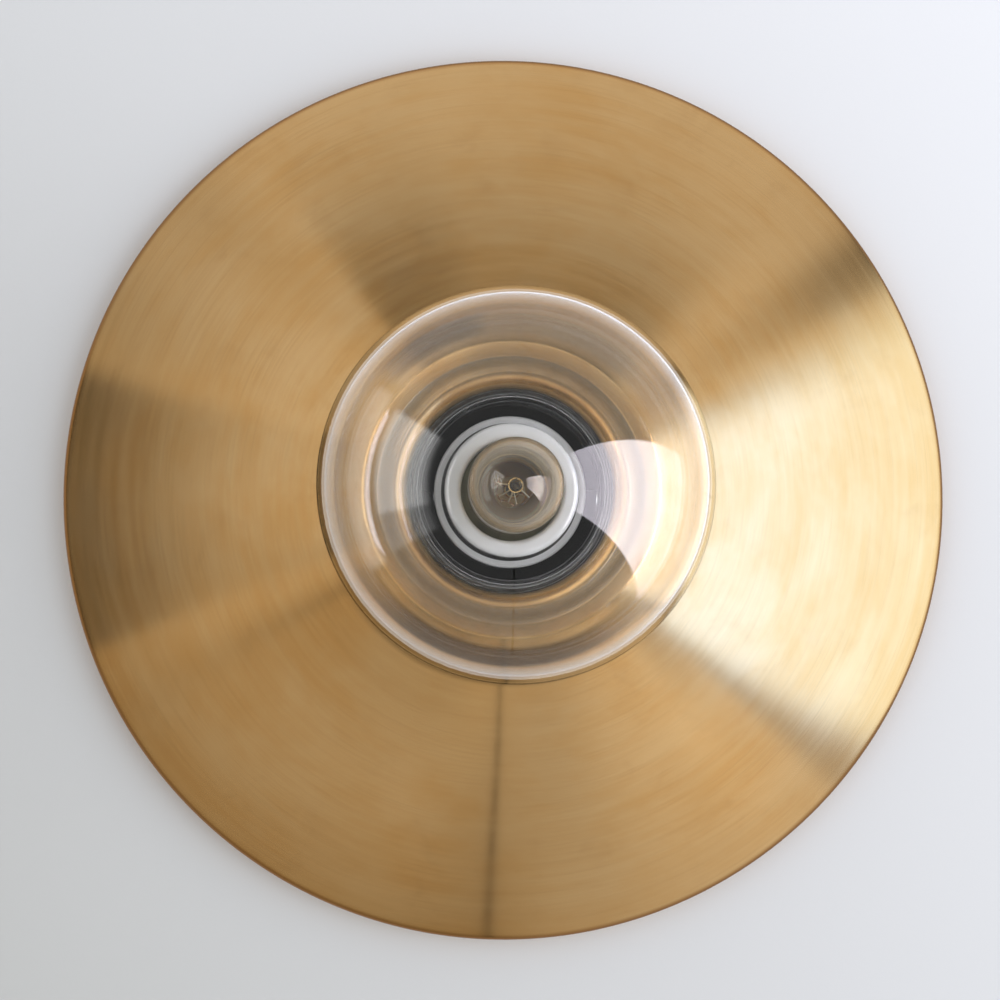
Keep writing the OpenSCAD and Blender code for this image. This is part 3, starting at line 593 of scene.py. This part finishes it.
def shell_bend(r, h, a):
    low, high = FLANGE_H + 1, SHELL_FRONT - 0.5
    if r < SHELL_R + SHELL_T + 0.1 and low < h:
        r += SHELL_WAVE * (2 * cap_crest(h, a, low, high) - 1)
    return r, h


def make_shell():
    outer = SHELL_R + SHELL_T
    path = [(FLANGE_R, FLANGE_H)]
    path += spaced([(SHELL_R, FLANGE_H), (SHELL_R, SHELL_FRONT)], SHELL_STEP)
    path += arc((outer, SHELL_FRONT), SHELL_T, SHELL_T, 180, 90, 4)[1:]
    path += [(RIM_OUT, SHELL_FRONT + SHELL_T), (RIM_OUT, SHELL_FRONT)]
    path += spaced([(outer, SHELL_FRONT), (outer, FLANGE_H + SHELL_T)], SHELL_STEP)
    path.append((FLANGE_R, FLANGE_H + SHELL_T))
    shell = lathe("rolled_shell", path, METAL_SIDES, shell_bend, 40.0)
    dress(shell, "fixture", "bright_brass", "thread_shell")
    # The thread shell gets the brass with painted shade
    shell.data.materials[0] = MATERIALS["tarnished_brass"]


# Bulb's glass
def make_bulb():
    tube = [(BULB_NECK_R, BULB_NECK), (BULB_NECK_R, CAP_END)]
    for i in range(1, BULB_STEPS + 1):
        swell = (BULB_R - BULB_NECK_R) * (1 - math.cos(math.pi * i / BULB_STEPS)) / 2
        tube.append((BULB_NECK_R + swell, CAP_END + BULB_SHOULDER * i / BULB_STEPS))
    tube += arc((0, BULB_DOME), BULB_R, BULB_NOSE, 0, 90, 48)[:-1] + [(0.0, BULB_DOME + BULB_NOSE)]
    bulb = lathe("bulb_tube", doubled(tube, shifted(tube, BULB_T)), BULB_SIDES, None, 60.0)
    dress(bulb, "bulb", "bulb_glass", "bulb_envelope")


make_shade()
make_jar()
make_clear_ring()
make_cap()
make_shell()
make_bulb()

# Carried-over nodes
SLOTS = {row["node"]: row["material_slot"] for row in frame["record"]["subparts"]}
for name, obj in frame["nodes"].items():
    obj.data.materials.clear()
    obj.data.materials.append(MATERIALS[SLOTS[name]])

# Ceiling, in metres: half its side, its gap to the lamp, how the painted light of its tone leans and spreads,
# and the painted shadow of the dark disc behind the lamp
CEILING_HALF, CEILING_GAP = 2.5, 0.0004
TONE_LEAN, TONE_REACH = 0.62, 0.277
TONE_SHADED, TONE_LIT = (0.54, 0.55, 0.55), (0.90, 0.92, 0.985)
SHADOW_DISC_R, SHADOW_DISC_END, SHADOW_DISC_TONE = 0.048, 0.052, (0.02, 0.02, 0.02)


def make_ceiling():
    """A painted ceiling that is seen from below only, and neither lights nor shades the lamp."""
    mesh = bpy.data.meshes.new("ceiling")
    s, z = CEILING_HALF, CEILING_GAP
    mesh.from_pydata([(-s, -s, z), (-s, s, z), (s, s, z), (s, -s, z)], [], [(0, 1, 2, 3)])
    made = bpy.data.objects.new("ceiling", mesh)
    bpy.context.scene.collection.objects.link(made)
    mat, t = material("ceiling_paint")
    here, x, y, _, out = t.place()
    # Painted light: the tone is lighter toward the window's side and darker away from it
    side = t.linear(t.minus(x, t.times(y, TONE_LEAN)), -TONE_REACH, TONE_REACH)
    tone = t.mix(side, TONE_SHADED, TONE_LIT)
    # Painted shadow: the ceiling behind the lamp's base is nearly black
    tone = t.mix(t.smooth(out, SHADOW_DISC_R, SHADOW_DISC_END), SHADOW_DISC_TONE, tone)
    grain = t.noise(here, 700.0, rough=0.6)
    paint = t.principled({"Base Color": tone, "Roughness": 0.9, "Normal": t.bump(grain, 0.1, 0.0002)})
    clear = t.node("ShaderNodeBsdfTransparent").outputs[0]
    back = t.node("ShaderNodeNewGeometry").outputs["Backfacing"]
    t.surface(t.node("ShaderNodeMixShader", {0: back, 1: paint, 2: clear}).outputs[0])
    mesh.materials.append(mat)
    made.visible_diffuse = False
    made.visible_glossy = False
    made.visible_shadow = False


make_ceiling()

# Room. A patch has its two azimuths and the softness of each, then its lowest and highest angle from straight
# down and the softness of each, all in degrees. The last number is the lean of its sides, if they lean: they
# have their azimuths at LEAN_AT.
LEAN_AT = 55
WINDOW = (-24, 33.5, 6, 1.6, 20, 92, 7, 1.5, -0.27)
PANES = (-21, 31.5, 0.5, 0.5, 24, 84.5, 3, 1, 0.33)
STAND = (89.5, 90.4, 0.2, 0.2, 10, 91, 2, 1)
WARM_BELOW, WARM_BESIDE = (85, 158, 15, 10, 20, 46, 4, 4), (85, 205, 15, 10, 59, 100, 4, 5)
WARM_SHARE, DARKEST = 0.8, 0.02

# Light of the room: the cast of its patches, of the window on brass low, high and through the jar, of the
# window's panes in glass low, midway and high, and of what matte surfaces get outside the jar and in it
COOL, WARM = (1.0, 1.0, 1.02), (1.0, 0.86, 0.61)
WINDOW_LOW, WINDOW_HIGH, WINDOW_IN_JAR = (1.38, 2.0, 3.7), (1.28, 1.62, 2.1), (1.6, 2.0, 3.1)
PANES_LOW, PANES_MIDWAY, PANES_HIGH = (5.3, 5.0, 5.6), (8.8, 8.2, 8.6), (2.4, 2.0, 2.4)
MATTE, MATTE_IN_JAR = (0.80, 0.80, 0.80), (0.68, 0.68, 0.67)
MATTE_WINDOW, MATTE_WINDOW_IN_JAR = (2.3, 2.3, 2.3), (5.0, 5.0, 5.5)
BACKDROP = (0.86, 0.87, 0.89, 1)

# A ray counts a transmission at each face of a wall. What the jar itself reflects stays below the first of
# these, and what the bulb reflects below the second.
JAR_WALLS, BULB_WALLS = 2.5, 6.5

# What each patch adds to what rough metal and glaze reflect, to the same inside the jar, and to clear glass
SOFT_PATCHES = (
    (0.4, (0, 360, 1, 1, 12, 34, 4, 4)),
    (0.15, (150, 218, 5, 5, 14, 34, 4, 4)),
    (0.24, (234, 316, 8, 10, 57, 100, 6, 5)),
    (-0.46, (241, 306, 4, 7, 36, 50, 4, 6)),
    (-0.56, (239, 260, 3, 6, 34, 52, 4, 5)),
    (-0.30, (100, 168, 8, 4, 34, 44, 4, 4)),
    (-0.60, (290, 312, 4, 5, 36, 47, 4, 4)),
    (0.22, (319, 334, 5, 3, 36, 50, 4, 4)),
    (0.26, (314, 334, 5, 3, 50, 62, 4, 3)),
    (-0.42, (322, 330, 3, 2, 65, 90, 3, 3)),
    (0.24, (156, 230, 3, 6, 36, 49, 4, 6)),
    (0.14, (176, 240, 8, 8, 46, 58, 4, 4)),
    (0.25, (100, 166, 8, 6, 48, 56, 4, 4)),
    (-0.90, (163, 198, 3, 5, 56.5, 80, 2.5, 5)),
    (-0.14, (196, 214, 5, 7, 60, 80, 4, 5)),
    (-0.28, (150, 153, 1.6, 1.2, 30, 45, 4, 1.5)),
    (-0.20, (85, 166, 8, 4, 58, 100, 4, 5)),
    (0.34, (37.5, 66, 2, 14, 40, 60, 4, 5)),
    (0.13, (37.5, 66, 2, 14, 60, 100, 5, 5)),
    (0.30, (37, 50, 2, 6, 51, 62, 4, 4)),
    (-0.52, (37, 44, 2, 5, 30, 47, 4, 4)),
    (-0.45, (33.5, 37, 1, 2, 30, 47, 4, 7, -0.27)),
    (-0.15, (33.5, 36, 1, 2, 46, 90, 4, 7, -0.27)),
)
INNER_PATCHES = (
    (-0.10, (0, 360, 1, 1, -10, 60, 4, 4)),
    (0.7, (212, 262, 8, 8, 12, 40, 4, 4)),
    (0.4, (132, 165, 8, 8, 12, 40, 4, 4)),
)
SHARP_PATCHES = (
    (1.35, (0, 360, 1, 1, 108, 176, 7, 3)),
    (0.5, (160, 225, 8, 8, 93, 108, 3, 7)),
    (-0.5, (228, 318, 8, 12, 108, 176, 7, 3)),
    (0.9, (152, 214, 2, 2, 34, 62, 3, 2)),
    (1.8, (169, 214, 2, 2, 34, 62, 3, 2)),
    (1.2, (150, 218, 2, 2, 70, 88, 1.5, 1.5)),
    (0.7, (222, 335, 4, 4, 66, 93, 6, 1.5)),
)


class Room(Tree):
    """The world: a pale backdrop, and a room with a window for what the lamp reflects and is lit by."""

    def __init__(self, tree):
        super().__init__(tree)
        way = self.node("ShaderNodeTexCoord").outputs["Generated"]
        x, y, z = self.node("ShaderNodeSeparateXYZ", {0: way}).outputs
        self.around = self.math("ARCTAN2", y, x)
        self.below = self.math("ARCCOSINE", self.times(z, -1.0))
        self.window = self.patch(*WINDOW)
        self.cleared = self.minus(1.0, self.patch(*STAND))
        self.rays = self.node("ShaderNodeLightPath").outputs
        self.outside = self.within(JAR_WALLS)

    def within(self, walls):
        return self.math("LESS_THAN", self.rays["Transmission Depth"], walls)

    def some(self, count):
        return self.math("GREATER_THAN", count, 0.5)

    def patch(self, a0, a1, soft0, soft1, low, high, soft_low, soft_high, lean=0.0):
        """A share of 1 inside the patch."""
        middle, half = (a0 + a1) / 2, (a1 - a0) / 2
        turned = self.math("MULTIPLY_ADD", self.below, -lean, math.radians(lean * LEAN_AT - middle))
        off = self.math("WRAP", self.plus(self.around, turned), -math.pi, math.pi)
        sides = (-half - soft0, -half + soft0, half - soft1, half + soft1)
        ends = (low - soft_low, low + soft_low, high - soft_high, high + soft_high)
        across = self.band(off, *map(math.radians, sides))
        return self.times(across, self.band(self.below, *map(math.radians, ends)))

    def climb(self, low, high, to_low=0.0, to_high=1.0):
        """Goes from to_low to to_high over an angle from straight down."""
        return self.smooth(self.below, math.radians(low), math.radians(high), to_low, to_high)

    def total(self, base, patches):
        level = base
        for gain, sides in patches:
            level = self.math("MULTIPLY_ADD", self.patch(*sides), gain, level)
        return self.larger(level, DARKEST)

    def grey(self, level):
        return self.node("ShaderNodeCombineColor", {0: level, 1: level, 2: level}).outputs[0]

    def rough(self):
        """What rough metal and glaze reflect."""
        soft = self.total(self.climb(6, 14, 0.22, 0.46), SOFT_PATCHES)
        base = 0.12
        added = self.minus(self.total(base, INNER_PATCHES), base)
        soft = self.math("MULTIPLY_ADD", self.minus(1.0, self.outside), added, soft)
        soft = self.times(self.larger(soft, DARKEST), self.cleared)
        warm = self.larger(self.times(self.patch(*WARM_BELOW), WARM_SHARE), self.patch(*WARM_BESIDE))
        walls = self.mix(1.0, self.mix(warm, COOL, WARM), self.grey(soft), "MULTIPLY")
        light = self.mix(self.climb(56, 66), WINDOW_LOW, WINDOW_HIGH)
        return self.mix(self.window, walls, self.mix(self.outside, WINDOW_IN_JAR, light))

    def clear(self):
        """What clear glass reflects."""
        base = self.node("ShaderNodeMix", {0: self.outside, 2: 0.5, 3: 0.3}).outputs[0]
        sharp = self.times(self.total(base, SHARP_PATCHES), self.cleared)
        light = self.mix(self.climb(32, 46), PANES_LOW, PANES_MIDWAY)
        light = self.mix(self.climb(57, 72), light, PANES_HIGH)
        return self.mix(self.patch(*PANES), self.grey(sharp), light)

    def plain(self):
        """What matte surfaces are lit by, outside the jar and in it."""
        bare = self.mix(self.window, MATTE, MATTE_WINDOW)
        in_jar = self.mix(self.window, MATTE_IN_JAR, MATTE_WINDOW_IN_JAR)
        return self.mix(self.some(self.rays["Transmission Depth"]), bare, in_jar)

    def room(self):
        """What the lamp's pieces meet, by how the ray left them."""
        sharp = self.times(self.rays["Is Singular Ray"], self.within(BULB_WALLS))
        mirrored = self.mix(sharp, self.rough(), self.clear())
        scattered = self.some(self.rays["Diffuse Depth"])
        glossed = self.times(self.rays["Is Glossy Ray"], self.minus(1.0, scattered))
        return self.mix(glossed, self.plain(), mirrored)

    def seen(self):
        """1 for the camera's rays and for those that only went through glass, which meet the backdrop."""
        bounced = self.some(self.plus(self.rays["Diffuse Depth"], self.rays["Glossy Depth"]))
        through = self.times(self.rays["Is Transmission Ray"], self.minus(1.0, bounced))
        return self.larger(self.rays["Is Camera Ray"], through)

    def finish(self):
        room = self.node("ShaderNodeBackground", {"Color": self.room()}).outputs[0]
        pale = self.node("ShaderNodeBackground", {"Color": BACKDROP}).outputs[0]
        both = self.node("ShaderNodeMixShader", {0: self.seen(), 1: room, 2: pale}).outputs[0]
        self.node("ShaderNodeOutputWorld", {"Surface": both})


def make_room():
    world = bpy.data.worlds.new("room")
    bpy.context.scene.world = world
    world.use_nodes = True
    Room(world.node_tree).finish()


make_room()

# Camera: where it is and looks in metres, and its focal length in pixels of a photo that is PHOTO_PX wide
CAMERA_AT, CAMERA_TO = Vector((-0.0405, 0.0471, -0.993)), Vector((-0.0019, 0.00095, -0.007))
FOCAL_PX, PHOTO_PX, SENSOR = 2897.0, 1000, 36.0


def make_camera():
    """A camera below the lamp whose top side faces -Y."""
    data = bpy.data.cameras.new("camera")
    data.sensor_width = SENSOR
    data.lens = FOCAL_PX * SENSOR / PHOTO_PX
    data.clip_start, data.clip_end = 0.05, 20.0
    made = bpy.data.objects.new("camera", data)
    bpy.context.scene.collection.objects.link(made)
    bpy.context.scene.camera = made
    backward = (CAMERA_AT - CAMERA_TO).normalized()
    right = Vector((0, -1, 0)).cross(backward).normalized()
    up = backward.cross(right)
    turn = Matrix((right, up, backward)).transposed().to_4x4()
    made.matrix_world = Matrix.Translation(CAMERA_AT) @ turn


make_camera()
bpy.context.scene.view_settings.view_transform = "Standard"
